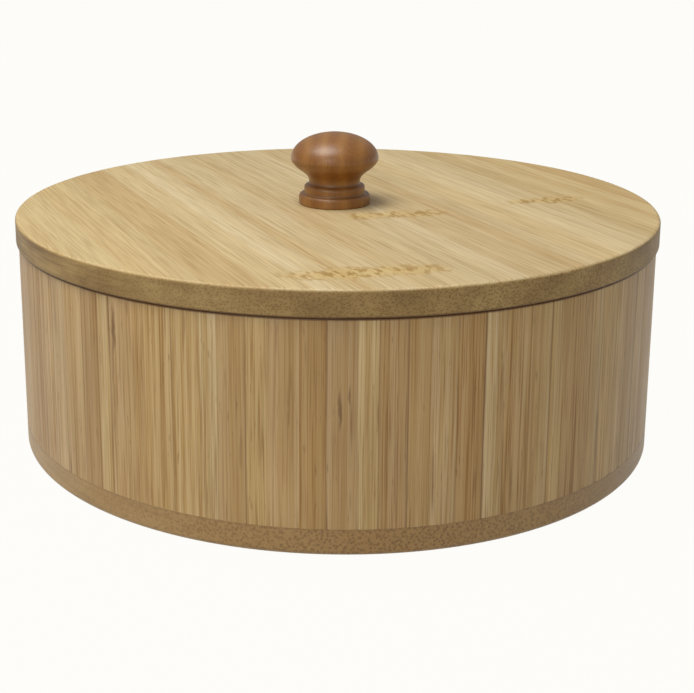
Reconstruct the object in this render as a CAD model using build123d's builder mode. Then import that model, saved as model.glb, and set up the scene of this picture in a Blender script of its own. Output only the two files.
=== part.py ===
"""A round bamboo cookie jar: a coopered wall on a glued-up base, with a lift-off lid and a turned knob.

Millimetres. +Z is up, and the origin is the middle of the base's underside.
"""

from build123d import *
from math import cos, radians, sin
import os

# Wall
wall_outer_radius = 124.0
wall_thickness = 9.0
wall_height = 71.0  # from the base's rim to the underside of the lid
rim_round = 0.8  # on both edges of the staves' tops
stave_count = 30
first_joint_angle = -103.0  # a dark glue line seen left of the front

# Base
base_thickness = 9.5
base_edge_round = 2.0
base_step_height = 3.0  # the raised middle that the wall stands round
base_glue_gap = 0.1
base_board_count = 11
base_grain_angle = -78.0

# Lid
lid_thickness = 9.5
lid_overhang = 1.0
lid_top_round = 1.2
lid_under_round = 0.8
lid_board_count = 11
lid_grain_angle = -66.0

# Locating ring under the lid
ring_clearance = 1.0
ring_thickness = 5.0
ring_height = 6.0
ring_chamfer = 1.2

# Turned knob
knob_height = 28.3
knob_head_radius = 17.3
knob_head_height = 18.2  # of its widest line above the lid
knob_neck_radius = 10.1
knob_neck_height = 9.3
knob_bead_ledge = 1.9  # how far the bead stands out past the neck
knob_bead_top = 7.8
knob_collar_ledge = 2.1  # how far the collar stands out past the bead
knob_collar_height = 4.1
knob_edge_round = 0.9
knob_foot_round = 0.4
quarter_reach = 0.5523  # the handle length that makes a curve a quarter of an ellipse

# Screw and washer that hold the knob
screw_shank_radius = 2.0
screw_reach = 17.0  # into the knob
screw_tip_length = 3.0
screw_tip_radius = 0.4
screw_head_radius = 4.0
screw_head_height = 2.6
screw_head_round = 1.4
recess_arm = 4.2
recess_width = 1.0
recess_depth = 1.5
screw_hole_clearance = 0.25
pilot_clearance = 0.05
pilot_extra_depth = 1.0
washer_radius = 6.5
washer_thickness = 1.0

# Places worked out from the sizes above
wall_inner_radius = wall_outer_radius - wall_thickness
stave_angle = 360.0 / stave_count
rim_height = base_thickness + wall_height
lid_radius = wall_outer_radius + lid_overhang
lid_top = rim_height + lid_thickness
base_step_radius = wall_inner_radius - base_glue_gap
ring_outer_radius = wall_inner_radius - ring_clearance
ring_foot = rim_height - ring_height
knob_bead_radius = knob_neck_radius + knob_bead_ledge
knob_collar_radius = knob_bead_radius + knob_collar_ledge
collar_round = min(knob_edge_round, 0.45 * knob_collar_ledge)
bead_round = min(knob_edge_round, 0.45 * knob_bead_ledge)
screw_hole_radius = screw_shank_radius + screw_hole_clearance
pilot_radius = screw_shank_radius + pilot_clearance
washer_foot = rim_height - washer_thickness
screw_foot = washer_foot - screw_head_height
screw_tip = lid_top + screw_reach


def upright_plane(angle):
    """The plane through the Z axis at an angle from X, with Z up in it."""
    turn = radians(angle)
    return Plane(origin=(0, 0, 0), x_dir=(cos(turn), sin(turn), 0), z_dir=(sin(turn), -cos(turn), 0))


def grain_plane(angle):
    """The ground plane, with its X axis along a board's grain."""
    turn = radians(angle)
    return Plane(origin=(0, 0, 0), x_dir=(cos(turn), sin(turn), 0), z_dir=(0, 0, 1))


def board_centre(index, count, width):
    """How far the middle of a board lies from the middle of its panel."""
    return (index - (count - 1) / 2) * width


def save(piece, name):
    """Labels a finished piece and writes it as its own file."""
    piece.part.label = name
    export_step(piece.part, f"parts/{name}.step")


os.makedirs("parts", exist_ok=True)

# Base boards: slices of one turned disc with a raised middle
base_board_width = 2 * wall_outer_radius / base_board_count
for index in range(base_board_count):
    with BuildPart() as base_board:
        with BuildSketch(Plane.XZ) as base_section:
            with BuildLine():
                Polyline(
                    (0, 0),
                    (wall_outer_radius, 0),
                    (wall_outer_radius, base_thickness),
                    (base_step_radius, base_thickness),
                    (base_step_radius, base_thickness + base_step_height),
                    (0, base_thickness + base_step_height),
                    close=True,
                )
            make_face()
            outer_foot = base_section.vertices().group_by(Axis.Y)[0].sort_by(Axis.X)[-1]
            fillet(outer_foot, base_edge_round)
        revolve(axis=Axis.Z)
        with BuildSketch(grain_plane(base_grain_angle)):
            with Locations((0, board_centre(index, base_board_count, base_board_width))):
                Rectangle(2 * lid_radius, base_board_width)
        extrude(amount=base_thickness + base_step_height, mode=Mode.INTERSECT)
    save(base_board, f"base_board_{index + 1:02d}")

# Wall staves: arcs of one ring, glued edge to edge
for index in range(stave_count):
    with BuildPart() as stave:
        with BuildSketch(upright_plane(first_joint_angle + index * stave_angle)) as stave_section:
            with Locations((wall_outer_radius - wall_thickness / 2, base_thickness + wall_height / 2)):
                Rectangle(wall_thickness, wall_height)
            fillet(stave_section.vertices().group_by(Axis.Y)[-1], rim_round)
        revolve(axis=Axis.Z, revolution_arc=stave_angle)
    save(stave, f"wall_stave_{index + 1:02d}")

# Lid boards: slices of one turned disc, the middle one drilled for the knob's screw
lid_board_width = 2 * lid_radius / lid_board_count
for index in range(lid_board_count):
    offset_across = board_centre(index, lid_board_count, lid_board_width)
    with BuildPart() as lid_board:
        with BuildSketch(Plane.XZ) as lid_section:
            with Locations((lid_radius / 2, rim_height + lid_thickness / 2)):
                Rectangle(lid_radius, lid_thickness)
            rim_corners = lid_section.vertices().group_by(Axis.X)[-1]
            fillet(rim_corners.sort_by(Axis.Y)[-1], lid_top_round)
            under_corner = lid_section.vertices().group_by(Axis.Y)[0].sort_by(Axis.X)[-1]
            fillet(under_corner, lid_under_round)
        revolve(axis=Axis.Z)
        with BuildSketch(grain_plane(lid_grain_angle).offset(rim_height)):
            with Locations((0, offset_across)):
                Rectangle(2 * lid_radius, lid_board_width)
        extrude(amount=lid_thickness, mode=Mode.INTERSECT)
        if abs(offset_across) < lid_board_width / 2:
            with Locations((0, 0, lid_top)):
                Hole(screw_hole_radius)
    save(lid_board, f"lid_board_{index + 1:02d}")

# Locating ring: drops inside the wall and keeps the lid in its place
with BuildPart() as locating_ring:
    with BuildSketch(Plane.XY.offset(ring_foot)):
        Circle(ring_outer_radius)
        Circle(ring_outer_radius - ring_thickness, mode=Mode.SUBTRACT)
    extrude(amount=ring_height)
    chamfer(locating_ring.edges().group_by(Axis.Z)[0], ring_chamfer)
save(locating_ring, "locating_ring")

# Knob: a mushroom head on a neck, a bead and a collar, drilled from below
with BuildPart() as knob:
    with BuildSketch(Plane.XZ) as knob_section:
        foot = lid_top
        neck_point = (knob_neck_radius, foot + knob_neck_height)
        widest_point = (knob_head_radius, foot + knob_head_height)
        crown_point = (0, foot + knob_height)
        collar_edge = (knob_collar_radius, foot + knob_collar_height)
        bead_edge = (knob_bead_radius, foot + knob_bead_top)
        with BuildLine():
            Polyline(
                crown_point,
                (0, foot),
                (knob_collar_radius, foot),
                collar_edge,
                (knob_bead_radius, foot + knob_collar_height),
                bead_edge,
                (knob_neck_radius, foot + knob_bead_top),
                neck_point,
            )
            Spline(neck_point, widest_point, tangents=[(0, 1), (0, 1)], tangent_scalars=[0.9, 0.75])
            Bezier(
                widest_point,
                (knob_head_radius, foot + knob_head_height + quarter_reach * (knob_height - knob_head_height)),
                (quarter_reach * knob_head_radius, foot + knob_height),
                crown_point,
            )
        make_face()
        fillet(knob_section.vertices().sort_by_distance(collar_edge)[0], collar_round)
        fillet(knob_section.vertices().sort_by_distance(bead_edge)[0], bead_round)
        fillet(knob_section.vertices().sort_by_distance((knob_collar_radius, foot))[0], knob_foot_round)
    revolve(axis=Axis.Z)
    with BuildSketch(Plane.XY.offset(lid_top)):
        Circle(pilot_radius)
    extrude(amount=screw_reach + pilot_extra_depth, mode=Mode.SUBTRACT)
save(knob, "knob")

# Washer between the screw's head and the lid
with BuildPart() as knob_washer:
    with BuildSketch(Plane.XY.offset(washer_foot)):
        Circle(washer_radius)
        Circle(screw_hole_radius, mode=Mode.SUBTRACT)
    extrude(amount=washer_thickness)
save(knob_washer, "knob_washer")

# Pan-head wood screw, driven up through the lid into the knob
with BuildPart() as knob_screw:
    with BuildSketch(Plane.XZ) as screw_section:
        with BuildLine():
            Polyline(
                (0, screw_foot),
                (screw_head_radius, screw_foot),
                (screw_head_radius, washer_foot),
                (screw_shank_radius, washer_foot),
                (screw_shank_radius, screw_tip - screw_tip_length),
                (screw_tip_radius, screw_tip),
                (0, screw_tip),
                close=True,
            )
        make_face()
        head_corner = screw_section.vertices().group_by(Axis.Y)[0].sort_by(Axis.X)[-1]
        fillet(head_corner, screw_head_round)
    revolve(axis=Axis.Z)
    with BuildSketch(Plane.XY.offset(screw_foot)):
        Rectangle(recess_arm, recess_width)
        Rectangle(recess_width, recess_arm)
    extrude(amount=recess_depth, mode=Mode.SUBTRACT)
save(knob_screw, "knob_screw")
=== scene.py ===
# %% [markdown]
# # A round bamboo cookie jar
# The jar is a coopered bamboo wall on a glued-up base, and its lid carries a turned knob. The solid model
# comes first: it is loaded as a fixed frame, and everything that is made here lies in the same metres.

# %% Load the frame
import bpy
import bmesh
import math
from mathutils import Vector, Matrix


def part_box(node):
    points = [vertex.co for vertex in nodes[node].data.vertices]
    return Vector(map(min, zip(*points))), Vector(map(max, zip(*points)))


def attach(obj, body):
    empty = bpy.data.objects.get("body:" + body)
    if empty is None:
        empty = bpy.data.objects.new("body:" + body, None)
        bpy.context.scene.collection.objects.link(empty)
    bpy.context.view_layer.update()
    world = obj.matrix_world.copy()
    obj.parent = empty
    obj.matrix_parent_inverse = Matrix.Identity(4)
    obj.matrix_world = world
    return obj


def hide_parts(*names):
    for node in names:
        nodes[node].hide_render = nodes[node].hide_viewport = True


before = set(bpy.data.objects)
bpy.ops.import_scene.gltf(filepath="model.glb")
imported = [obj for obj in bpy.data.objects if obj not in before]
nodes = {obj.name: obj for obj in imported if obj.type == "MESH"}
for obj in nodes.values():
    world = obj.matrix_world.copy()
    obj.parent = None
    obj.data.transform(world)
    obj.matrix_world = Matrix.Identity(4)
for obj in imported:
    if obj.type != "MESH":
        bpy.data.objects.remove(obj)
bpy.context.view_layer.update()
print("nodes in the frame:", len(nodes))

# %% [markdown]
# ## Sizes that the looks share
# Every height is read from the solid nodes, so the looks follow the model when a size changes. The staves
# tell where the wall stands, and the lid's boards tell how thick the lid is.

# %% Read the sizes
stave_names = sorted(name for name in nodes if name.startswith("wall_stave"))
lid_board_names = sorted(name for name in nodes if name.startswith("lid_board"))
base_board_names = sorted(name for name in nodes if name.startswith("base_board"))


def joined_box(names):
    """The lowest and the highest corner of several nodes together."""
    lows, highs = zip(*[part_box(name) for name in names])
    low = Vector([min(corner[axis] for corner in lows) for axis in range(3)])
    high = Vector([max(corner[axis] for corner in highs) for axis in range(3)])
    return low, high


wall_low, wall_high = joined_box(stave_names)
lid_low, lid_high = joined_box(lid_board_names)
knob_low, knob_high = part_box("knob")
wall_radius = 0.124
wall_thickness = 0.009
lid_radius = 0.125
wall_foot = wall_low.z
wall_height = wall_high.z - wall_low.z
lid_top = lid_high.z
print(f"wall {wall_foot:.4f} to {wall_high.z:.4f}, lid top {lid_top:.4f}, knob top {knob_high.z:.4f}")

# %% [markdown]
# ## Camera
# The photograph is a crop out of a larger picture, so its upright edges hardly lean although the view is from
# above. A camera that points a little less far down, with its lens shifted, draws it the same way. The turn
# is written as three plain angles, and the lens as pixels, which is how they were found.

# %% Make the camera
image_width = 694
image_height = 693
camera_distance = 0.5580
camera_elevation = 0.3738
camera_pitch = 0.2324
camera_yaw = -0.0470
camera_roll = -0.0051
focal_pixels = 1334.9
centre_column = 273.2
centre_row = 225.0

look = Vector((
    math.sin(camera_yaw) * math.cos(camera_pitch),
    math.cos(camera_yaw) * math.cos(camera_pitch),
    -math.sin(camera_pitch),
))
level_right = look.cross(Vector((0, 0, 1))).normalized()
level_up = level_right.cross(look)
right = math.cos(camera_roll) * level_right + math.sin(camera_roll) * level_up
up = -math.sin(camera_roll) * level_right + math.cos(camera_roll) * level_up

camera_data = bpy.data.cameras.new("camera")
camera_data.sensor_fit = "HORIZONTAL"
camera_data.sensor_width = 36.0
camera_data.lens = focal_pixels / image_width * camera_data.sensor_width
camera_data.shift_x = (image_width / 2 - centre_column) / image_width
camera_data.shift_y = (centre_row - image_height / 2) / image_width
camera = bpy.data.objects.new("camera", camera_data)
bpy.context.scene.collection.objects.link(camera)
turn = Matrix((right, up, -look)).transposed()
place = Vector((0, -math.cos(camera_elevation), math.sin(camera_elevation))) * camera_distance
camera.matrix_world = Matrix.Translation(place) @ turn.to_4x4()
bpy.context.scene.camera = camera
print(f"lens {camera_data.lens:.1f} mm, shift {camera_data.shift_x:.3f}, {camera_data.shift_y:.3f}")

# %% [markdown]
# ## Helpers for node trees
# A node tree is easier to read when each line makes one node and says what feeds it. The helper makes a node,
# sets its properties, and joins or fills its inputs by name or by number.


# %% Node helper
def add_node(tree, kind, inputs=None, **properties):
    """Makes a node in a tree. An input is given a socket to join, or a plain value."""
    node = tree.nodes.new(kind)
    for name, value in properties.items():
        setattr(node, name, value)
    for key, value in (inputs or {}).items():
        socket = node.inputs[key]
        if isinstance(value, bpy.types.NodeSocket):
            tree.links.new(value, socket)
        else:
            socket.default_value = value
    return node


def maths(tree, operation, first, second=0.0, clamp=False):
    """One Math node, and its result."""
    wired = {0: first, 1: second}
    return add_node(tree, "ShaderNodeMath", wired, operation=operation, use_clamp=clamp).outputs[0]


def product(tree, *factors):
    """Several values multiplied with each other."""
    result = factors[0]
    for factor in factors[1:]:
        result = maths(tree, "MULTIPLY", result, factor)
    return result


def rescale(tree, value, low, high, at_low=0.0, at_high=1.0):
    """A value's range, from low to high, brought to another range and held inside it."""
    wired = {0: value, 1: low, 2: high, 3: at_low, 4: at_high}
    return add_node(tree, "ShaderNodeMapRange", wired).outputs[0]


def vector(tree, x, y=0.0, z=0.0):
    """A vector from three values."""
    return add_node(tree, "ShaderNodeCombineXYZ", {0: x, 1: y, 2: z}).outputs[0]


def parts(tree, place):
    """The three values of a vector."""
    return add_node(tree, "ShaderNodeSeparateXYZ", {0: place}).outputs


def scaled(tree, place, factors):
    """A vector multiplied with another, axis by axis."""
    return add_node(tree, "ShaderNodeVectorMath", {0: place, 1: factors}, operation="MULTIPLY").outputs[0]


def axis_distance(tree, place):
    """How far a place lies from the Z axis."""
    flat = scaled(tree, place, (1, 1, 0))
    return add_node(tree, "ShaderNodeVectorMath", {0: flat}, operation="LENGTH").outputs["Value"]


def oval(tree, along, along_power, across):
    """A soft oval patch: 1 in its middle, 0 from its edge on. Both places run from -1 to 1 over it."""
    spread = maths(
        tree, "ADD",
        maths(tree, "POWER", maths(tree, "ABSOLUTE", along), along_power),
        maths(tree, "POWER", maths(tree, "ABSOLUTE", across), 2.0),
    )
    return maths(tree, "SUBTRACT", 1.0, spread, clamp=True)


def ramp(tree, factor, stops):
    """A colour ramp from (place, colour) stops."""
    node = add_node(tree, "ShaderNodeValToRGB", {0: factor})
    elements = node.color_ramp.elements
    while len(elements) < len(stops):
        elements.new(0.5)
    for element, (position, colour) in zip(elements, stops):
        element.position = position
        element.color = (*colour, 1.0)
    return node.outputs[0]


def blend_colours(tree, factor, first, second, mode="MIX"):
    """One colour mixed with another."""
    node = add_node(tree, "ShaderNodeMix", data_type="RGBA", blend_type=mode)
    for socket, value in zip((node.inputs[0], node.inputs[6], node.inputs[7]), (factor, first, second)):
        if isinstance(value, bpy.types.NodeSocket):
            tree.links.new(value, socket)
        elif isinstance(value, tuple):
            socket.default_value = (*value, 1.0)
        else:
            socket.default_value = value
    return node.outputs[2]


def blend_values(tree, factor, first, second):
    """One value mixed with another."""
    return add_node(tree, "ShaderNodeMix", {0: factor, 2: first, 3: second}, data_type="FLOAT").outputs[0]


def noise(tree, place, scale, detail=3.0, roughness=0.5):
    """A noise texture's plain value."""
    wired = {"Vector": place, "Scale": scale, "Detail": detail, "Roughness": roughness}
    return add_node(tree, "ShaderNodeTexNoise", wired).outputs["Fac"]


def new_group(name, inputs, outputs):
    """An empty shader node group with named inputs and outputs: (group, its inputs, its output node)."""
    group = bpy.data.node_groups.new(name, "ShaderNodeTree")
    for label, kind, value in inputs:
        socket = group.interface.new_socket(label, in_out="INPUT", socket_type=kind)
        if value is not None:
            socket.default_value = value
    for label, kind in outputs:
        group.interface.new_socket(label, in_out="OUTPUT", socket_type=kind)
    return group, group.nodes.new("NodeGroupInput").outputs, group.nodes.new("NodeGroupOutput")


print("helpers ready")

# %% [markdown]
# ## Bamboo fibre
# Bamboo has no growth rings. Its strips show thin dark bundles of fibre, all running along the strip, in a
# paler ground, and every so often a node, where the bundles scatter into short specks. Both effects are used
# on the wall, the lid and the base, so each is a shader group. The group expects a place whose X runs along
# the fibre, so one group serves wood that stands, lies, or is cut at an angle.

# %% Fibre group
fibre_group, group_in, group_out = new_group(
    "Bamboo fibre",
    [
        ("Place", "NodeSocketVector", None),
        ("Fibre width", "NodeSocketFloat", 0.0007),
        ("Fibre length", "NodeSocketFloat", 0.03),
    ],
    [("Streak", "NodeSocketFloat"), ("Hair", "NodeSocketFloat")],
)
across = maths(fibre_group, "DIVIDE", 1.0, group_in["Fibre width"])
along = maths(fibre_group, "DIVIDE", 1.0, group_in["Fibre length"])
stretched = scaled(fibre_group, group_in["Place"], vector(fibre_group, along, across, across))
streak = noise(fibre_group, stretched, 0.32, detail=3.0, roughness=0.62)
hair = noise(fibre_group, stretched, 1.5, detail=2.0, roughness=0.6)
fibre_group.links.new(streak, group_out.inputs["Streak"])
fibre_group.links.new(hair, group_out.inputs["Hair"])
print("group:", fibre_group.name)

# %% [markdown]
# ## Strips
# The boards are laminated from strips that were sawn from many canes, so neighbours differ in tone. A strip
# number comes from dividing the place across the strips by their width and rounding down. White noise turns
# the number into a steady random tone, and the distance to the strip's edge gives the thin glue line.

# %% Strip group
strip_group, group_in, group_out = new_group(
    "Strips",
    [
        ("Across", "NodeSocketFloat", 0.0),
        ("Strip width", "NodeSocketFloat", 0.02),
        ("Unevenness", "NodeSocketFloat", 0.25),
        ("Line width", "NodeSocketFloat", 0.0003),
        ("Seed", "NodeSocketFloat", 0.0),
    ],
    [("Tone", "NodeSocketFloat"), ("Line", "NodeSocketFloat"), ("Number", "NodeSocketFloat")],
)
counted = maths(strip_group, "DIVIDE", group_in["Across"], group_in["Strip width"])
wander = noise(strip_group, vector(strip_group, counted, group_in["Seed"]), 0.55, detail=0.0)
wander = maths(strip_group, "MULTIPLY", maths(strip_group, "SUBTRACT", wander, 0.5), group_in["Unevenness"])
counted = maths(strip_group, "ADD", counted, maths(strip_group, "MULTIPLY", wander, 4.0))
number = maths(strip_group, "FLOOR", counted)
share = maths(strip_group, "FRACT", counted)
random_at = vector(strip_group, number, group_in["Seed"])
random_tone = add_node(strip_group, "ShaderNodeTexWhiteNoise", {"Vector": random_at}, noise_dimensions="3D")
split_tone = add_node(strip_group, "ShaderNodeSeparateColor", {0: random_tone.outputs["Color"]})
edge = maths(strip_group, "MINIMUM", share, maths(strip_group, "SUBTRACT", 1.0, share))
edge = maths(strip_group, "MULTIPLY", edge, group_in["Strip width"])
edge = maths(strip_group, "DIVIDE", edge, group_in["Line width"])
line_value = maths(strip_group, "SUBTRACT", 1.0, edge, clamp=True)
strip_group.links.new(split_tone.outputs[0], group_out.inputs["Tone"])
strip_group.links.new(line_value, group_out.inputs["Line"])
strip_group.links.new(number, group_out.inputs["Number"])
print("group:", strip_group.name)


# %% [markdown]
# ## Starting a material
# Each material keeps its own Principled shader, because a finish belongs to one material. The helper makes
# the material and gives back its tree, its shader and the Object coordinates that all patterns here read.

# %% Material helper
def start_material(name, roughness, coat=0.0, coat_roughness=0.3, specular=0.5):
    """A new material: (material, tree, shader, object coordinates)."""
    material = bpy.data.materials.new(name)
    material.use_nodes = True
    tree = material.node_tree
    shader = tree.nodes["Principled BSDF"]
    shader.inputs["Roughness"].default_value = roughness
    shader.inputs["Specular IOR Level"].default_value = specular
    shader.inputs["Coat Weight"].default_value = coat
    shader.inputs["Coat Roughness"].default_value = coat_roughness
    place = add_node(tree, "ShaderNodeTexCoord").outputs["Object"]
    return material, tree, shader, place


def use_group(tree, group, inputs):
    """A node group placed in a tree, with its inputs set."""
    node = add_node(tree, "ShaderNodeGroup", node_tree=group)
    for key, value in inputs.items():
        if isinstance(value, bpy.types.NodeSocket):
            tree.links.new(value, node.inputs[key])
        else:
            node.inputs[key].default_value = value
    return node.outputs


def turned(tree, place, degrees):
    """The place turned about Z, so that X runs along a grain at that angle."""
    wired = {"Vector": place, "Rotation": (0, 0, math.radians(-degrees))}
    return add_node(tree, "ShaderNodeMapping", wired, vector_type="POINT").outputs[0]


def add_bump(tree, shader, height, strength, distance):
    """A Bump node between a height and the shader."""
    wired = {"Height": height, "Strength": strength, "Distance": distance}
    tree.links.new(add_node(tree, "ShaderNodeBump", wired).outputs[0], shader.inputs["Normal"])


def dress(names, material):
    """Gives solid nodes one material."""
    for name in names:
        nodes[name].data.materials.clear()
        nodes[name].data.materials.append(material)


print("material helper ready")

# %% [markdown]
# ## Wall strips
# The wall is coopered: narrow strips stand side by side round the base. Three strips make a stave of the
# solid model. Moving them by hand would be slow, and a circular array gives every strip one width, so a
# Geometry Nodes tree makes them. It copies one unit block as often as there are strips, and gives each copy
# its own number. A Set Position node then bends each block into its arc. The lines between the strips of one
# stave are moved a little at random, with a fixed seed, and the tree stores a random tone and the strip's
# number on every strip, and the share of the way across it, for the material to read.

# %% Wall tree
strips_per_stave = 3
strip_count = strips_per_stave * len(stave_names)
strip_angle = math.tau / strip_count
first_joint = math.radians(-103.0)  # a stave's joint, left of the front
block_columns = 5  # points round the jar, through the wall, and up it
block_layers = 3
block_rows = 9


def wall_tree():
    """The Geometry Nodes tree of the wall."""
    tree = bpy.data.node_groups.new("Coopered wall", "GeometryNodeTree")
    tree.interface.new_socket("Geometry", in_out="INPUT", socket_type="NodeSocketGeometry")
    sizes = [
        ("Strips", "NodeSocketInt", strip_count),
        ("Strips in a stave", "NodeSocketInt", strips_per_stave),
        ("First joint", "NodeSocketFloat", first_joint),
        ("Outer radius", "NodeSocketFloat", wall_radius),
        ("Thickness", "NodeSocketFloat", wall_thickness),
        ("Foot", "NodeSocketFloat", wall_foot),
        ("Height", "NodeSocketFloat", wall_height),
        ("Rim round", "NodeSocketFloat", 0.0008),
        ("Joint groove", "NodeSocketFloat", 0.00012),
        ("Unevenness", "NodeSocketFloat", 0.33),
        ("Seed", "NodeSocketInt", 7),
        ("Material", "NodeSocketMaterial", None),
    ]
    for label, kind, value in sizes:
        socket = tree.interface.new_socket(label, in_out="INPUT", socket_type=kind)
        if value is not None:
            socket.default_value = value
    tree.interface.new_socket("Geometry", in_out="OUTPUT", socket_type="NodeSocketGeometry")
    sizes_in = tree.nodes.new("NodeGroupInput").outputs
    result = tree.nodes.new("NodeGroupOutput")

    block_shape = {"Vertices X": block_columns, "Vertices Y": block_layers, "Vertices Z": block_rows}
    block = add_node(tree, "GeometryNodeMeshCube", {"Size": (1, 1, 1), **block_shape}).outputs["Mesh"]
    line = {"Count": sizes_in["Strips"], "Offset": (0, 0, 0)}
    points = add_node(tree, "GeometryNodeMeshLine", line).outputs[0]
    copies = add_node(tree, "GeometryNodeInstanceOnPoints", {"Points": points, "Instance": block}).outputs[0]
    own_number = add_node(tree, "GeometryNodeInputIndex").outputs[0]
    numbered = add_node(
        tree, "GeometryNodeStoreNamedAttribute",
        {"Geometry": copies, "Name": "strip", "Value": own_number}, data_type="INT", domain="INSTANCE",
    ).outputs[0]
    tone = add_node(
        tree, "FunctionNodeRandomValue", {"ID": own_number, "Seed": sizes_in["Seed"]}, data_type="FLOAT"
    ).outputs[1]
    toned = add_node(
        tree, "GeometryNodeStoreNamedAttribute",
        {"Geometry": numbered, "Name": "strip_tone", "Value": tone}, data_type="FLOAT", domain="INSTANCE",
    ).outputs[0]
    real = add_node(tree, "GeometryNodeRealizeInstances", {"Geometry": toned}).outputs[0]

    strip = add_node(tree, "GeometryNodeInputNamedAttribute", {"Name": "strip"}, data_type="INT").outputs[0]
    unit = parts(tree, add_node(tree, "GeometryNodeInputPosition").outputs[0])
    share = maths(tree, "ADD", unit[0], 0.5)
    depth = maths(tree, "ADD", unit[1], 0.5)
    level = maths(tree, "ADD", unit[2], 0.5)

    def joint_angle(number):
        """The angle of a joint: those between staves stay in place, and the others move a little."""
        line_seed = maths(tree, "ADD", sizes_in["Seed"], 11.0)
        moved = add_node(
            tree, "FunctionNodeRandomValue", {"Min": -1.0, "Max": 1.0, "ID": number, "Seed": line_seed},
            data_type="FLOAT",
        ).outputs[1]
        place_in_stave = maths(tree, "MODULO", number, sizes_in["Strips in a stave"])
        between = maths(tree, "GREATER_THAN", place_in_stave, 0.5)
        moved = product(tree, moved, between, sizes_in["Unevenness"])
        turned_by = maths(tree, "MULTIPLY", maths(tree, "ADD", number, moved), math.tau)
        turned_by = maths(tree, "DIVIDE", turned_by, sizes_in["Strips"])
        return maths(tree, "ADD", turned_by, sizes_in["First joint"])

    shared = add_node(
        tree, "GeometryNodeStoreNamedAttribute",
        {"Geometry": real, "Name": "strip_share", "Value": share}, data_type="FLOAT", domain="POINT",
    ).outputs[0]
    start = joint_angle(strip)
    end = joint_angle(maths(tree, "ADD", strip, 1.0))
    angle = maths(tree, "ADD", start, maths(tree, "MULTIPLY", share, maths(tree, "SUBTRACT", end, start)))

    inner_radius = maths(tree, "SUBTRACT", sizes_in["Outer radius"], sizes_in["Thickness"])
    radius = maths(tree, "ADD", inner_radius, maths(tree, "MULTIPLY", depth, sizes_in["Thickness"]))
    at_edge = maths(tree, "GREATER_THAN", maths(tree, "ABSOLUTE", unit[0]), 0.499)
    at_face = maths(tree, "GREATER_THAN", depth, 0.999)
    groove = product(tree, at_edge, at_face, sizes_in["Joint groove"])
    radius = maths(tree, "SUBTRACT", radius, groove)

    # The lower half of a block's rows climbs the straight wall, and the upper half goes round the rim.
    rim = sizes_in["Rim round"]
    upper_half = maths(tree, "MAXIMUM", maths(tree, "SUBTRACT", level, 0.5), 0.0)
    bend = maths(tree, "MULTIPLY", upper_half, 2.0)
    quarter = maths(tree, "MULTIPLY", bend, math.pi / 2)
    rise = maths(tree, "MULTIPLY", maths(tree, "SINE", quarter), rim)
    side = maths(tree, "SUBTRACT", maths(tree, "MULTIPLY", depth, 2.0), 1.0)
    pull = maths(tree, "MULTIPLY", maths(tree, "SUBTRACT", 1.0, maths(tree, "COSINE", quarter)), rim)
    radius = maths(tree, "SUBTRACT", radius, maths(tree, "MULTIPLY", pull, side))
    straight = maths(tree, "SUBTRACT", sizes_in["Height"], rim)
    lower_half = maths(tree, "MINIMUM", maths(tree, "MULTIPLY", level, 2.0), 1.0)
    below = maths(tree, "MULTIPLY", lower_half, straight)
    height = maths(tree, "ADD", maths(tree, "ADD", below, rise), sizes_in["Foot"])

    bent = vector(
        tree,
        maths(tree, "MULTIPLY", radius, maths(tree, "COSINE", angle)),
        maths(tree, "MULTIPLY", radius, maths(tree, "SINE", angle)),
        height,
    )
    placed = add_node(tree, "GeometryNodeSetPosition", {"Geometry": shared, "Position": bent}).outputs[0]
    whole = add_node(tree, "GeometryNodeRealizeInstances", {"Geometry": placed}).outputs[0]
    done = add_node(
        tree, "GeometryNodeSetMaterial", {"Geometry": whole, "Material": sizes_in["Material"]}
    ).outputs[0]
    tree.links.new(done, result.inputs[0])
    return tree


def mesh_from_tree(name, tree, values):
    """Runs a Geometry Nodes tree on an empty mesh and returns the result as a plain object at the origin."""
    carrier = bpy.data.objects.new(name + "_carrier", bpy.data.meshes.new(name + "_carrier"))
    bpy.context.scene.collection.objects.link(carrier)
    modifier = carrier.modifiers.new("tree", "NODES")
    modifier.node_group = tree
    sockets = [item for item in tree.interface.items_tree if item.in_out == "INPUT"]
    identifiers = {socket.name: socket.identifier for socket in sockets}
    for label, value in values.items():
        modifier[identifiers[label]] = value
    bpy.context.view_layer.update()
    graph = bpy.context.evaluated_depsgraph_get()
    mesh = bpy.data.meshes.new_from_object(carrier.evaluated_get(graph))
    bpy.data.objects.remove(carrier)
    piece = bpy.data.objects.new(name, mesh)
    bpy.context.scene.collection.objects.link(piece)
    return piece


def outward(piece):
    """Turns every face outwards. Each strip is a closed block of its own, so no points are merged."""
    shape = bmesh.new()
    shape.from_mesh(piece.data)
    bmesh.ops.recalc_face_normals(shape, faces=shape.faces)
    shape.to_mesh(piece.data)
    shape.free()


def smooth(piece, degrees):
    """Smooth shading, with edges kept sharp where faces meet at more than this angle."""
    piece.data.shade_smooth()
    piece.data.set_sharp_from_angle(angle=math.radians(degrees))


print(f"{strip_count} strips, {math.degrees(strip_angle):.1f} degrees each")

# %% [markdown]
# ## Wall finish
# Each strip has its own tone, from straw to caramel, and some are greyer. Fine fibres stand upright in each
# strip. The fibre pattern needs a flat place to read, so the wall is unrolled: the angle round the jar, times
# the radius, runs across the fibre, and the height runs along it. Each strip reads the pattern at a height of
# its own, so that no fibre runs on from one strip into the next. Glue lines are thin and dark brown. A short
# scar at the front and a stained line left of it are single marks, each with its own angle and height.

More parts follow.
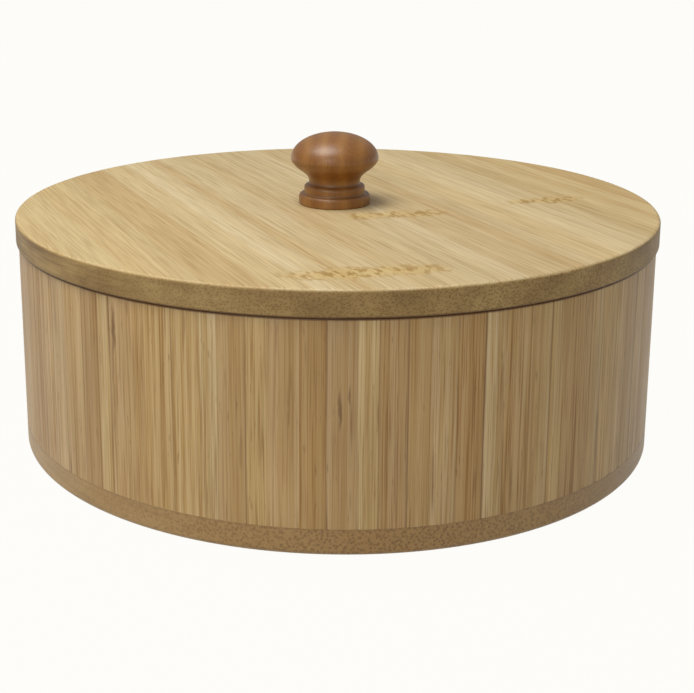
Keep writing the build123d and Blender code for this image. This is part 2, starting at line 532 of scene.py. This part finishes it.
# %% Wall material
wall_marks = [  # angle, height, half height, half width, strength
    (-89.0, 0.050, 0.0075, 0.0007, 0.75),
    (-87.6, 0.055, 0.0040, 0.0005, 0.6),
    (-126.0, 0.069, 0.0100, 0.0011, 0.8),
    (-126.3, 0.044, 0.0280, 0.0005, 0.5),
]
mark_brown = (0.16, 0.075, 0.022)
fleck_brown = (0.24, 0.125, 0.045)
stain_brown = (0.25, 0.125, 0.04)
glue_brown = (0.235, 0.115, 0.030)
joint_brown = (0.14, 0.065, 0.025)
# Painted shade for the groove where the lid meets the wall.
groove_painted_shade = (0.10, 0.038, 0.008)  # in the groove under the lid
stave_arc = strip_angle * strips_per_stave
strip_shift = 0.37  # how far up the pattern is read from one strip to the next, in metres
glue_line_width = 0.00025  # of the faintest line between strips
glue_line_growth = 0.0008  # by how much a dark line is wider
stave_line_width = 0.00042

wall_material, tree, shader, place = start_material(
    "wall_bamboo", 0.5, coat=0.1, coat_roughness=0.4, specular=0.4
)
across_x, across_y, upward = parts(tree, place)
round_angle = maths(tree, "ARCTAN2", across_y, across_x)
around = maths(tree, "MULTIPLY", round_angle, wall_radius)
reach = axis_distance(tree, place)
tone, strip, share = [
    add_node(tree, "ShaderNodeAttribute", attribute_name=name).outputs["Fac"]
    for name in ("strip_tone", "strip", "strip_share")
]
strip = maths(tree, "ROUND", strip)
strip_random = add_node(
    tree, "ShaderNodeTexWhiteNoise", {"Vector": vector(tree, strip, 0.5)}, noise_dimensions="3D"
)
strip_random = add_node(tree, "ShaderNodeSeparateColor", {0: strip_random.outputs["Color"]}).outputs
own_height = maths(tree, "ADD", upward, maths(tree, "MULTIPLY", strip, strip_shift))
unrolled = vector(tree, own_height, around, reach)
fibre = use_group(tree, fibre_group, {"Place": unrolled, "Fibre width": 0.0007, "Fibre length": 0.055})

# %% Wall tones
ground = ramp(tree, tone, [
    (0.0, (0.46, 0.285, 0.105)),
    (0.18, (0.53, 0.345, 0.145)),
    (0.36, (0.565, 0.385, 0.18)),
    (0.54, (0.60, 0.42, 0.215)),
    (0.74, (0.63, 0.455, 0.215)),
    (1.0, (0.67, 0.51, 0.28)),
])
grey = maths(tree, "MULTIPLY", strip_random[0], 0.42)
ground = blend_colours(tree, grey, ground, (0.57, 0.42, 0.25))
streak_dark = ramp(tree, fibre["Streak"], [
    (0.30, (0.64, 0.50, 0.27)),
    (0.42, (0.90, 0.81, 0.62)),
    (0.56, (1.02, 1.00, 0.97)),
    (0.70, (1.12, 1.13, 1.18)),
])
colour = blend_colours(tree, 0.75, ground, streak_dark, "MULTIPLY")
hair_dark = ramp(tree, fibre["Hair"], [
    (0.36, (0.54, 0.37, 0.19)),
    (0.50, (0.98, 0.96, 0.91)),
    (0.66, (1.08, 1.09, 1.12)),
])
hair_amount = maths(tree, "ADD", 0.35, maths(tree, "MULTIPLY", strip_random[1], 0.45))
colour = blend_colours(tree, hair_amount, colour, hair_dark, "MULTIPLY")
drift = noise(tree, unrolled, 18.0, detail=2.0)
drift_tint = ramp(tree, drift, [(0.3, (0.90, 0.88, 0.85)), (0.7, (1.08, 1.07, 1.05))])
colour = blend_colours(tree, 0.8, colour, drift_tint, "MULTIPLY")
fleck = noise(tree, scaled(tree, unrolled, (140.0, 1150.0, 1150.0)), 1.0, detail=1.0)
fleck = rescale(tree, fleck, 0.70, 0.78, at_high=0.5)
colour = blend_colours(tree, fleck, colour, fleck_brown)
stain = noise(tree, scaled(tree, unrolled, (22.0, 420.0, 420.0)), 1.0, detail=2.0, roughness=0.6)
stain = rescale(tree, stain, 0.64, 0.74, at_high=0.7)
colour = blend_colours(tree, stain, colour, stain_brown)

# %% Wall joints
from_edge = maths(tree, "MINIMUM", share, maths(tree, "SUBTRACT", 1.0, share))
from_edge = maths(tree, "MULTIPLY", from_edge, strip_angle * wall_radius)
fade = noise(tree, unrolled, 16.0, detail=1.0)
fade = ramp(tree, fade, [(0.36, (0.2, 0.2, 0.2)), (0.60, (1.0, 1.0, 1.0))])
line_depth = maths(tree, "MULTIPLY", maths(tree, "POWER", strip_random[2], 2.0), 0.8)
line_width = maths(tree, "ADD", glue_line_width, maths(tree, "MULTIPLY", line_depth, glue_line_growth))
line = maths(tree, "SUBTRACT", 1.0, maths(tree, "DIVIDE", from_edge, line_width), clamp=True)
line = maths(tree, "MULTIPLY", line, fade)
line = maths(tree, "MULTIPLY", line, maths(tree, "ADD", line_depth, 0.15), clamp=True)
colour = blend_colours(tree, line, colour, glue_brown)

stave_turn = maths(tree, "DIVIDE", maths(tree, "SUBTRACT", round_angle, first_joint), stave_arc)
near_stave = maths(tree, "FRACT", maths(tree, "ADD", stave_turn, 0.5))
near_stave = maths(tree, "ABSOLUTE", maths(tree, "SUBTRACT", near_stave, 0.5))
from_joint = maths(tree, "MULTIPLY", near_stave, stave_arc * wall_radius)
joint = maths(tree, "SUBTRACT", 1.0, maths(tree, "DIVIDE", from_joint, stave_line_width), clamp=True)
joint = product(tree, joint, fade, 0.7)
colour = blend_colours(tree, joint, colour, joint_brown)

# %% Wall marks
wobble = noise(tree, place, 160.0, detail=2.0)
wobble = maths(tree, "MULTIPLY", maths(tree, "SUBTRACT", wobble, 0.5), 0.0018)
for mark_angle, mark_height, half_height, half_width, strength in wall_marks:
    across_mark = maths(tree, "SUBTRACT", around, math.radians(mark_angle) * wall_radius)
    across_mark = maths(tree, "DIVIDE", maths(tree, "ADD", across_mark, wobble), half_width)
    along_mark = maths(tree, "DIVIDE", maths(tree, "SUBTRACT", upward, mark_height), half_height)
    mark = maths(tree, "MULTIPLY", oval(tree, along_mark, 2.0, across_mark), strength)
    colour = blend_colours(tree, mark, colour, mark_brown)

# Painted shade: the groove under the lid is darkened on the wall's outer rim corner alone, so the rim is pale
# when the lid is off.
groove = rescale(tree, upward, wall_high.z - 0.0011, wall_high.z - 0.0005)
outer_corner = rescale(tree, reach, wall_radius - 0.0009, wall_radius - 0.0006, at_high=0.95)
colour = blend_colours(tree, maths(tree, "MULTIPLY", groove, outer_corner), colour, groove_painted_shade)
tree.links.new(colour, shader.inputs["Base Color"])
add_bump(tree, shader, maths(tree, "SUBTRACT", fibre["Hair"], joint), 0.2, 0.0002)
print("material:", wall_material.name)

# %% Make the wall
wall = mesh_from_tree("wall_strips", wall_tree(), {
    "Strips": strip_count,
    "Outer radius": wall_radius,
    "Thickness": wall_thickness,
    "Foot": wall_foot,
    "Height": wall_height,
    "Material": wall_material,
})
outward(wall)
smooth(wall, 30)
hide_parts(*stave_names)
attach(wall, "jar")
print("wall faces:", len(wall.data.polygons))

# %% [markdown]
# ## Lid finish
# The lid is glued up from flat-sawn bamboo, so on top the fibres run straight from board to board, and the
# canes' nodes show as short rows of golden specks that lie across the grain. On the lid's edge the grain is
# cut through, so it shows dark end-grain specks where it is cut square and short streaks elsewhere. The
# boards stay the solid model's own, and one material reads the height and the direction of the surface.

# %% Lid material
lid_grain = -66.0
node_marks = [  # x, y, half length, half width, direction
    (0.0233, -0.0208, 0.0215, 0.0070, 13.9),
    (0.0837, 0.0068, 0.0180, 0.0055, 21.3),
    (0.0102, -0.1047, 0.0300, 0.0080, 13.5),
]
lid_glue_brown = (0.33, 0.2, 0.09)
band_gold = (0.60, 0.42, 0.15)
speck_brown = (0.35, 0.205, 0.055)
end_grain_brown = (0.165, 0.088, 0.028)
board_shift = 0.41  # how far along the pattern is read from one board to the next, in metres
edge_depth = 0.0004  # how far in from the rim the cut edge's colour starts

lid_material, tree, shader, place = start_material(
    "lid_bamboo", 0.55, coat=0.06, coat_roughness=0.4, specular=0.3
)
grained = turned(tree, place, lid_grain)
grain_along, grain_across, grain_height = parts(tree, grained)
strips = use_group(tree, strip_group, {
    "Across": grain_across, "Strip width": 0.0227, "Unevenness": 0.0, "Line width": 0.0003, "Seed": 3.0,
})
fine_strips = use_group(tree, strip_group, {
    "Across": grain_across, "Strip width": 0.0062, "Unevenness": 0.3, "Line width": 0.0002, "Seed": 9.0,
})
shifted = maths(tree, "ADD", grain_along, maths(tree, "MULTIPLY", strips["Number"], board_shift))
lid_place = vector(tree, shifted, grain_across, grain_height)
fibre = use_group(tree, fibre_group, {"Place": lid_place, "Fibre width": 0.0008, "Fibre length": 0.045})

# %% Lid tones
ground = ramp(tree, fine_strips["Tone"], [
    (0.0, (0.575, 0.415, 0.20)),
    (0.4, (0.595, 0.45, 0.23)),
    (0.75, (0.62, 0.485, 0.265)),
    (1.0, (0.655, 0.525, 0.31)),
])
board_tint = ramp(tree, strips["Tone"], [(0.0, (0.91, 0.89, 0.86)), (1.0, (1.06, 1.06, 1.06))])
colour = blend_colours(tree, 0.8, ground, board_tint, "MULTIPLY")
# Painted highlight: the lid is paler and bluer in a broad band along the grain through its middle, and a
# little darker and warmer towards the sides.
off_middle = maths(tree, "DIVIDE", maths(tree, "ABSOLUTE", grain_across), lid_radius)
middle_painted_sheen = ramp(tree, off_middle, [(0.15, (1.03, 1.07, 1.17)), (0.8, (0.98, 0.97, 0.93))])
colour = blend_colours(tree, 1.0, colour, middle_painted_sheen, "MULTIPLY")
streak_dark = ramp(tree, fibre["Streak"], [(0.28, (0.80, 0.74, 0.64)), (0.60, (1.05, 1.04, 1.02))])
colour = blend_colours(tree, 0.5, colour, streak_dark, "MULTIPLY")
hair_dark = ramp(tree, fibre["Hair"], [(0.36, (0.62, 0.52, 0.37)), (0.54, (1.03, 1.03, 1.02))])
colour = blend_colours(tree, 0.55, colour, hair_dark, "MULTIPLY")
colour = blend_colours(tree, maths(tree, "MULTIPLY", strips["Line"], 0.25), colour, lid_glue_brown)

# %% Lid node marks
specks = noise(tree, scaled(tree, grained, (0.45, 1.0, 1.0)), 430.0, detail=2.0, roughness=0.6)
specks = rescale(tree, specks, 0.49, 0.58)
ripple = noise(tree, place, 150.0, detail=2.0)
ripple = maths(tree, "MULTIPLY", maths(tree, "SUBTRACT", ripple, 0.5), 0.012)
bands = 0.0
for centre_x, centre_y, half_length, half_width, direction in node_marks:
    centre = (centre_x, centre_y, 0)
    local = add_node(tree, "ShaderNodeVectorMath", {0: place, 1: centre}, operation="SUBTRACT").outputs[0]
    local_along, local_across, _ = parts(tree, turned(tree, local, direction))
    along_mark = maths(tree, "DIVIDE", local_along, half_length)
    across_mark = maths(tree, "DIVIDE", maths(tree, "ADD", local_across, ripple), half_width)
    bands = maths(tree, "MAXIMUM", bands, oval(tree, along_mark, 4.0, across_mark))
colour = blend_colours(tree, maths(tree, "MULTIPLY", bands, 0.6), colour, band_gold)
speck_mask = product(tree, specks, maths(tree, "POWER", bands, 0.6), 0.9)
colour = blend_colours(tree, speck_mask, colour, speck_brown)

# %% Lid edge
across_x, across_y, upward = parts(tree, place)
reach = axis_distance(tree, place)
on_edge = rescale(tree, reach, lid_radius - edge_depth, lid_radius - 0.00005)
edge_angle = maths(tree, "ARCTAN2", across_y, across_x)
edge_round = maths(tree, "MULTIPLY", edge_angle, lid_radius)
from_grain = maths(tree, "SUBTRACT", edge_angle, math.radians(lid_grain))
square_cut = maths(tree, "ABSOLUTE", maths(tree, "COSINE", from_grain))
edge_place = vector(
    tree, edge_round, maths(tree, "MULTIPLY", upward, 1.3), maths(tree, "MULTIPLY", strips["Number"], 0.002)
)
edge_dots = add_node(tree, "ShaderNodeTexVoronoi", {"Vector": edge_place, "Scale": 1050.0, "Randomness": 1.0})
edge_specks = rescale(tree, edge_dots.outputs["Distance"], 0.15, 0.62, 1.0, 0.0)
edge_lines = noise(tree, scaled(tree, edge_place, (0.06, 1.0, 1.0)), 700.0, detail=3.0, roughness=0.6)
edge_lines = rescale(tree, edge_lines, 0.42, 0.66)
edge_grain = blend_values(tree, square_cut, edge_lines, edge_specks)
edge_tone = ramp(tree, noise(tree, edge_place, 60.0, detail=2.0), [
    (0.3, (0.29, 0.18, 0.064)), (0.5, (0.375, 0.24, 0.088)), (0.7, (0.46, 0.31, 0.122)),
])
edge_colour = blend_colours(tree, maths(tree, "MULTIPLY", edge_grain, 0.68), edge_tone, end_grain_brown)
colour = blend_colours(tree, on_edge, colour, edge_colour)
# This is the groove's upper side: painted shade on the lid's lower outer corner.
groove = rescale(tree, upward, lid_low.z + 0.0002, lid_low.z + 0.0009, 0.95, 0.0)
outer_corner = rescale(tree, reach, lid_radius - 0.0012, lid_radius - 0.0008)
colour = blend_colours(tree, maths(tree, "MULTIPLY", groove, outer_corner), colour, groove_painted_shade)
tree.links.new(colour, shader.inputs["Base Color"])
add_bump(tree, shader, fibre["Hair"], 0.18, 0.0002)
dress(lid_board_names, lid_material)
print("lid boards dressed:", len(lid_board_names))

# %% [markdown]
# ## Base and ring finish
# The base lies under the wall, flush with it, and shows only as a narrow golden band. Its boards are thicker
# strips, so the band shows end grain at the front, with dense specks, and long streaks at the sides. The
# ring under the lid is bent from thin plies, and its fibres run round it.

# %% Base material
base_grain = -78.0
base_end_brown = (0.37, 0.21, 0.068)
base_speck_brown = (0.17, 0.082, 0.022)
seam_brown = (0.20, 0.11, 0.045)

base_material, tree, shader, place = start_material("base_bamboo", 0.48, coat=0.12, coat_roughness=0.4)
grained = turned(tree, place, base_grain)
across_x, across_y, upward = parts(tree, place)
strips = use_group(tree, strip_group, {
    "Across": parts(tree, grained)[1], "Strip width": 0.02255, "Unevenness": 0.0, "Line width": 0.0003,
    "Seed": 21.0,
})
fibre = use_group(tree, fibre_group, {"Place": grained, "Fibre width": 0.0009, "Fibre length": 0.04})
# The end grain shows on the outer band alone, and the floor inside keeps the plain boards.
on_band = rescale(tree, axis_distance(tree, place), wall_radius - 0.0025, wall_radius - 0.0005)
band_angle = maths(tree, "ARCTAN2", across_y, across_x)
from_grain = maths(tree, "SUBTRACT", band_angle, math.radians(base_grain))
square_cut = maths(tree, "POWER", maths(tree, "ABSOLUTE", maths(tree, "COSINE", from_grain)), 3.0)
spots = add_node(tree, "ShaderNodeTexVoronoi", {"Vector": place, "Scale": 900.0, "Randomness": 1.0})
spots = rescale(tree, spots.outputs["Distance"], 0.15, 0.62, 1.0, 0.0)
band_place = vector(tree, product(tree, band_angle, wall_radius, 0.07), upward, 0.3)
streaks = noise(tree, band_place, 620.0, detail=3.0, roughness=0.6)
streaks = rescale(tree, streaks, 0.42, 0.70, at_high=0.4)
ground = ramp(tree, strips["Tone"], [
    (0.0, (0.47, 0.29, 0.105)), (0.5, (0.49, 0.31, 0.12)), (1.0, (0.52, 0.335, 0.135)),
])
ground = blend_colours(tree, product(tree, square_cut, on_band, 0.6), ground, base_end_brown)
grain_mask = product(tree, blend_values(tree, square_cut, streaks, spots), on_band, 0.75)
colour = blend_colours(tree, grain_mask, ground, base_speck_brown)
hair_dark = ramp(tree, fibre["Hair"], [(0.36, (0.80, 0.74, 0.66)), (0.62, (1.05, 1.05, 1.04))])
colour = blend_colours(tree, 0.5, colour, hair_dark, "MULTIPLY")
seam_near = rescale(tree, upward, wall_foot - 0.0011, wall_foot)
colour = blend_colours(tree, maths(tree, "MULTIPLY", seam_near, 0.35), colour, seam_brown)
tree.links.new(colour, shader.inputs["Base Color"])
add_bump(tree, shader, fibre["Hair"], 0.18, 0.0002)
dress(base_board_names, base_material)
print("base boards dressed:", len(base_board_names))

# %% Ring material
ring_radius = 0.112
ring_material, tree, shader, place = start_material("ring_bamboo", 0.55)
across_x, across_y, upward = parts(tree, place)
ring_round = maths(tree, "MULTIPLY", maths(tree, "ARCTAN2", across_y, across_x), ring_radius)
ring_place = vector(tree, ring_round, axis_distance(tree, place), upward)
fibre = use_group(tree, fibre_group, {"Place": ring_place, "Fibre width": 0.0007, "Fibre length": 0.06})
colour = ramp(tree, fibre["Streak"], [(0.3, (0.46, 0.31, 0.155)), (0.65, (0.62, 0.45, 0.25))])
hair_dark = ramp(tree, fibre["Hair"], [(0.36, (0.78, 0.72, 0.64)), (0.62, (1.04, 1.04, 1.04))])
colour = blend_colours(tree, 0.6, colour, hair_dark, "MULTIPLY")
tree.links.new(colour, shader.inputs["Base Color"])
add_bump(tree, shader, fibre["Hair"], 0.2, 0.0002)
dress(["locating_ring"], ring_material)
print("material:", ring_material.name)

# %% [markdown]
# ## Knob
# The knob is turned on a lathe from a darker wood. A lathe shape is a profile spun about an axis, so its
# profile is written as points, smoothed through them, and spun in mesh code. The profile starts on the lid,
# climbs a stepped foot of a collar and a bead, draws in to a neck, and swells to a flattened round head.

# %% Turn the knob
knob_foot_profile = [
    (0.01375, 0.0), (0.0140, 0.0002), (0.0141, 0.0007), (0.0141, 0.0022), (0.01405, 0.0032),  # collar
    (0.0137, 0.0038), (0.0132, 0.00408), (0.0124, 0.00415), (0.01202, 0.0045), (0.0120, 0.0056),  # bead
    (0.0120, 0.0067), (0.0117, 0.0073), (0.0111, 0.0077), (0.0105, 0.0079), (0.01015, 0.0084),
    (0.0101, 0.0093), (0.01032, 0.0102), (0.0110, 0.0113),  # neck
    (0.0123, 0.0126), (0.0139, 0.0138), (0.0154, 0.0150), (0.0166, 0.0164), (0.0172, 0.0176),  # head
]
head_radius = 0.0173
head_middle = 0.0182  # the height of its widest line above the lid
head_rise = knob_high.z - knob_low.z - head_middle
head_steps = 14
head_turns = [math.pi / 2 * step / head_steps for step in range(head_steps)]
crown_profile = [
    (head_radius * math.cos(turn), head_middle + head_rise * math.sin(turn)) for turn in head_turns
]
knob_profile = knob_foot_profile + crown_profile + [(0.0, head_middle + head_rise)]
knob_turns = 128


def lathe(name, profile, base, turns):
    """Spins a profile of (radius, height) points about Z and closes it underneath."""
    shape = bmesh.new()
    rings = []
    for radius, height in profile:
        if radius == 0:
            rings.append([shape.verts.new((0, 0, base + height))])
            continue
        ring = []
        for step in range(turns):
            angle = math.tau * step / turns
            ring.append(shape.verts.new((radius * math.cos(angle), radius * math.sin(angle), base + height)))
        rings.append(ring)
    for lower, upper in zip(rings, rings[1:]):
        for step in range(turns):
            after = (step + 1) % turns
            if len(upper) == 1:
                shape.faces.new((lower[step], lower[after], upper[0]))
            else:
                shape.faces.new((lower[step], lower[after], upper[after], upper[step]))
    middle = shape.verts.new((0, 0, base + profile[0][1]))
    for step in range(turns):
        shape.faces.new((rings[0][(step + 1) % turns], rings[0][step], middle))
    bmesh.ops.recalc_face_normals(shape, faces=shape.faces)
    mesh = bpy.data.meshes.new(name)
    shape.to_mesh(mesh)
    shape.free()
    piece = bpy.data.objects.new(name, mesh)
    bpy.context.scene.collection.objects.link(piece)
    return piece


def smoothed(profile, steps):
    """More points on a profile, on a Catmull-Rom curve through the given ones."""
    points = [profile[0]] + list(profile) + [profile[-1]]
    curve = []
    for index in range(1, len(points) - 2):
        before, start, end, after = points[index - 1:index + 3]
        for step in range(steps):
            share = step / steps
            curve.append(tuple(
                0.5 * (2 * start[k] + (end[k] - before[k]) * share
                       + (2 * before[k] - 5 * start[k] + 4 * end[k] - after[k]) * share ** 2
                       + (3 * start[k] - before[k] - 3 * end[k] + after[k]) * share ** 3)
                for k in range(2)
            ))
    return curve + [profile[-1]]


turned_knob = lathe("turned_knob", smoothed(knob_profile, 3), knob_low.z, knob_turns)
print("knob faces:", len(turned_knob.data.polygons))

# %% Knob material
collar_step = 0.0044  # the heights of the two steps above the lid, each darkened in a thin line
bead_step = 0.0082
step_brown = (0.14, 0.062, 0.025)

knob_material, tree, shader, place = start_material("knob_wood", 0.45, coat=0.5, coat_roughness=0.38)
upright = add_node(
    tree, "ShaderNodeMapping", {"Vector": place, "Rotation": (0, math.radians(90), 0)}, vector_type="POINT"
).outputs[0]
fibre = use_group(tree, fibre_group, {"Place": upright, "Fibre width": 0.0010, "Fibre length": 0.018})
knob_upward = parts(tree, place)[2]
rings = add_node(
    tree, "ShaderNodeTexWave",
    {"Vector": place, "Scale": 45.0, "Distortion": 2.5, "Detail": 2.0, "Detail Scale": 1.0},
    wave_type="BANDS", bands_direction="X",
).outputs["Fac"]
colour = ramp(tree, rings, [
    (0.0, (0.24, 0.092, 0.011)), (0.55, (0.27, 0.109, 0.014)), (1.0, (0.31, 0.133, 0.021)),
])
hair_dark = ramp(tree, fibre["Hair"], [(0.34, (0.68, 0.60, 0.54)), (0.62, (1.06, 1.06, 1.06))])
colour = blend_colours(tree, 0.55, colour, hair_dark, "MULTIPLY")
step_line = 0.0
for height in (collar_step, bead_step):
    gap = maths(tree, "ABSOLUTE", maths(tree, "SUBTRACT", knob_upward, knob_low.z + height))
    mark = maths(tree, "SUBTRACT", 1.0, maths(tree, "DIVIDE", gap, 0.0006), clamp=True)
    step_line = maths(tree, "MAXIMUM", step_line, mark)
colour = blend_colours(tree, maths(tree, "MULTIPLY", step_line, 0.6), colour, step_brown)
tree.links.new(colour, shader.inputs["Base Color"])
add_bump(tree, shader, fibre["Hair"], 0.12, 0.00015)
turned_knob.data.materials.append(knob_material)
smooth(turned_knob, 60)
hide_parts("knob")
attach(turned_knob, "lid")
print("material:", knob_material.name)

# %% [markdown]
# ## Screw and washer
# They are zinc-plated steel under the lid. A plated part has fine marks from turning, so its roughness
# changes a little with the distance from its axis.

# %% Steel material
steel_material, tree, shader, place = start_material("screw_steel", 0.34)
shader.inputs["Metallic"].default_value = 1.0
reach = axis_distance(tree, place)
marks = noise(tree, vector(tree, maths(tree, "MULTIPLY", reach, 4.0)), 900.0, detail=2.0)
stain = noise(tree, place, 260.0, detail=2.0)
colour = ramp(tree, stain, [(0.3, (0.50, 0.50, 0.49)), (0.7, (0.66, 0.66, 0.65))])
tree.links.new(colour, shader.inputs["Base Color"])
rough = rescale(tree, marks, 0.3, 0.7, 0.26, 0.44)
tree.links.new(rough, shader.inputs["Roughness"])
dress(["knob_screw", "knob_washer"], steel_material)
print("material:", steel_material.name)

# %% [markdown]
# ## Floor, world and lamps
# The jar stands on a wide pale floor, and behind it the world has the same colour, so no horizon shows. The
# warm white world fills the shadows evenly. One large lamp hangs above, a little to the left, because the lid
# is much brighter than the wall. A weaker one stands to the front left, because the wall darkens to the
# right. The pale colour is for the camera and for reflections, so it puts no more light on the jar.

# %% Floor and lights
floor_mesh = bpy.data.meshes.new("floor")
half_floor = 6.0
floor_corners = [(half_floor * x, half_floor * y, 0) for x, y in ((-1, -1), (1, -1), (1, 1), (-1, 1))]
floor_mesh.from_pydata(floor_corners, [], [(0, 1, 2, 3)])
floor = bpy.data.objects.new("floor", floor_mesh)
bpy.context.scene.collection.objects.link(floor)
floor_material = bpy.data.materials.new("floor")
floor_material.use_nodes = True
tree = floor_material.node_tree
shader = tree.nodes["Principled BSDF"]
shader.inputs["Base Color"].default_value = (0.42, 0.415, 0.40, 1)
shader.inputs["Roughness"].default_value = 0.9
shader.inputs["Specular IOR Level"].default_value = 0.1
rays = add_node(tree, "ShaderNodeLightPath")
seen = maths(tree, "MAXIMUM", rays.outputs["Is Camera Ray"], rays.outputs["Is Glossy Ray"])
seen = maths(tree, "MAXIMUM", seen, rays.outputs["Is Transmission Ray"])
pale = add_node(tree, "ShaderNodeEmission", {"Color": (1.0, 0.993, 0.962, 1), "Strength": 1.0}).outputs[0]
seen = maths(tree, "MULTIPLY", seen, 0.975)
mixed = add_node(tree, "ShaderNodeMixShader", {0: seen, 1: shader.outputs[0], 2: pale}).outputs[0]
tree.links.new(mixed, tree.nodes["Material Output"].inputs["Surface"])
floor.data.materials.append(floor_material)

world = bpy.data.worlds.new("studio")
bpy.context.scene.world = world
world.use_nodes = True
tree = world.node_tree
background = tree.nodes["Background"]
background.inputs["Color"].default_value = (1.0, 0.985, 0.96, 1)
background.inputs["Strength"].default_value = 0.34
rays = add_node(tree, "ShaderNodeLightPath")
seen = maths(tree, "MAXIMUM", rays.outputs["Is Camera Ray"], rays.outputs["Is Transmission Ray"])
pale = add_node(tree, "ShaderNodeBackground", {"Color": (1.0, 0.993, 0.962, 1), "Strength": 1.0}).outputs[0]
mixed = add_node(tree, "ShaderNodeMixShader", {0: seen, 1: background.outputs[0], 2: pale}).outputs[0]
tree.links.new(mixed, tree.nodes["World Output"].inputs["Surface"])


def soft_lamp(name, position, target, size, power, colour):
    """A square area lamp that faces a target."""
    data = bpy.data.lights.new(name, "AREA")
    data.shape = "SQUARE"
    data.size = size
    data.energy = power
    data.color = colour
    lamp = bpy.data.objects.new(name, data)
    lamp.location = position
    lamp.rotation_euler = (Vector(target) - Vector(position)).to_track_quat("-Z", "Y").to_euler()
    bpy.context.scene.collection.objects.link(lamp)
    return lamp


soft_lamp("top_lamp", (-0.30, -0.15, 1.05), (0, 0, 0.06), 0.6, 8.8, (1.0, 0.99, 0.96))
soft_lamp("side_lamp", (-0.34, -1.00, 0.50), (0, 0, 0.05), 0.5, 2.3, (1.0, 0.985, 0.955))
bpy.context.scene.view_settings.view_transform = "Standard"
print("floor, world and lamps ready")
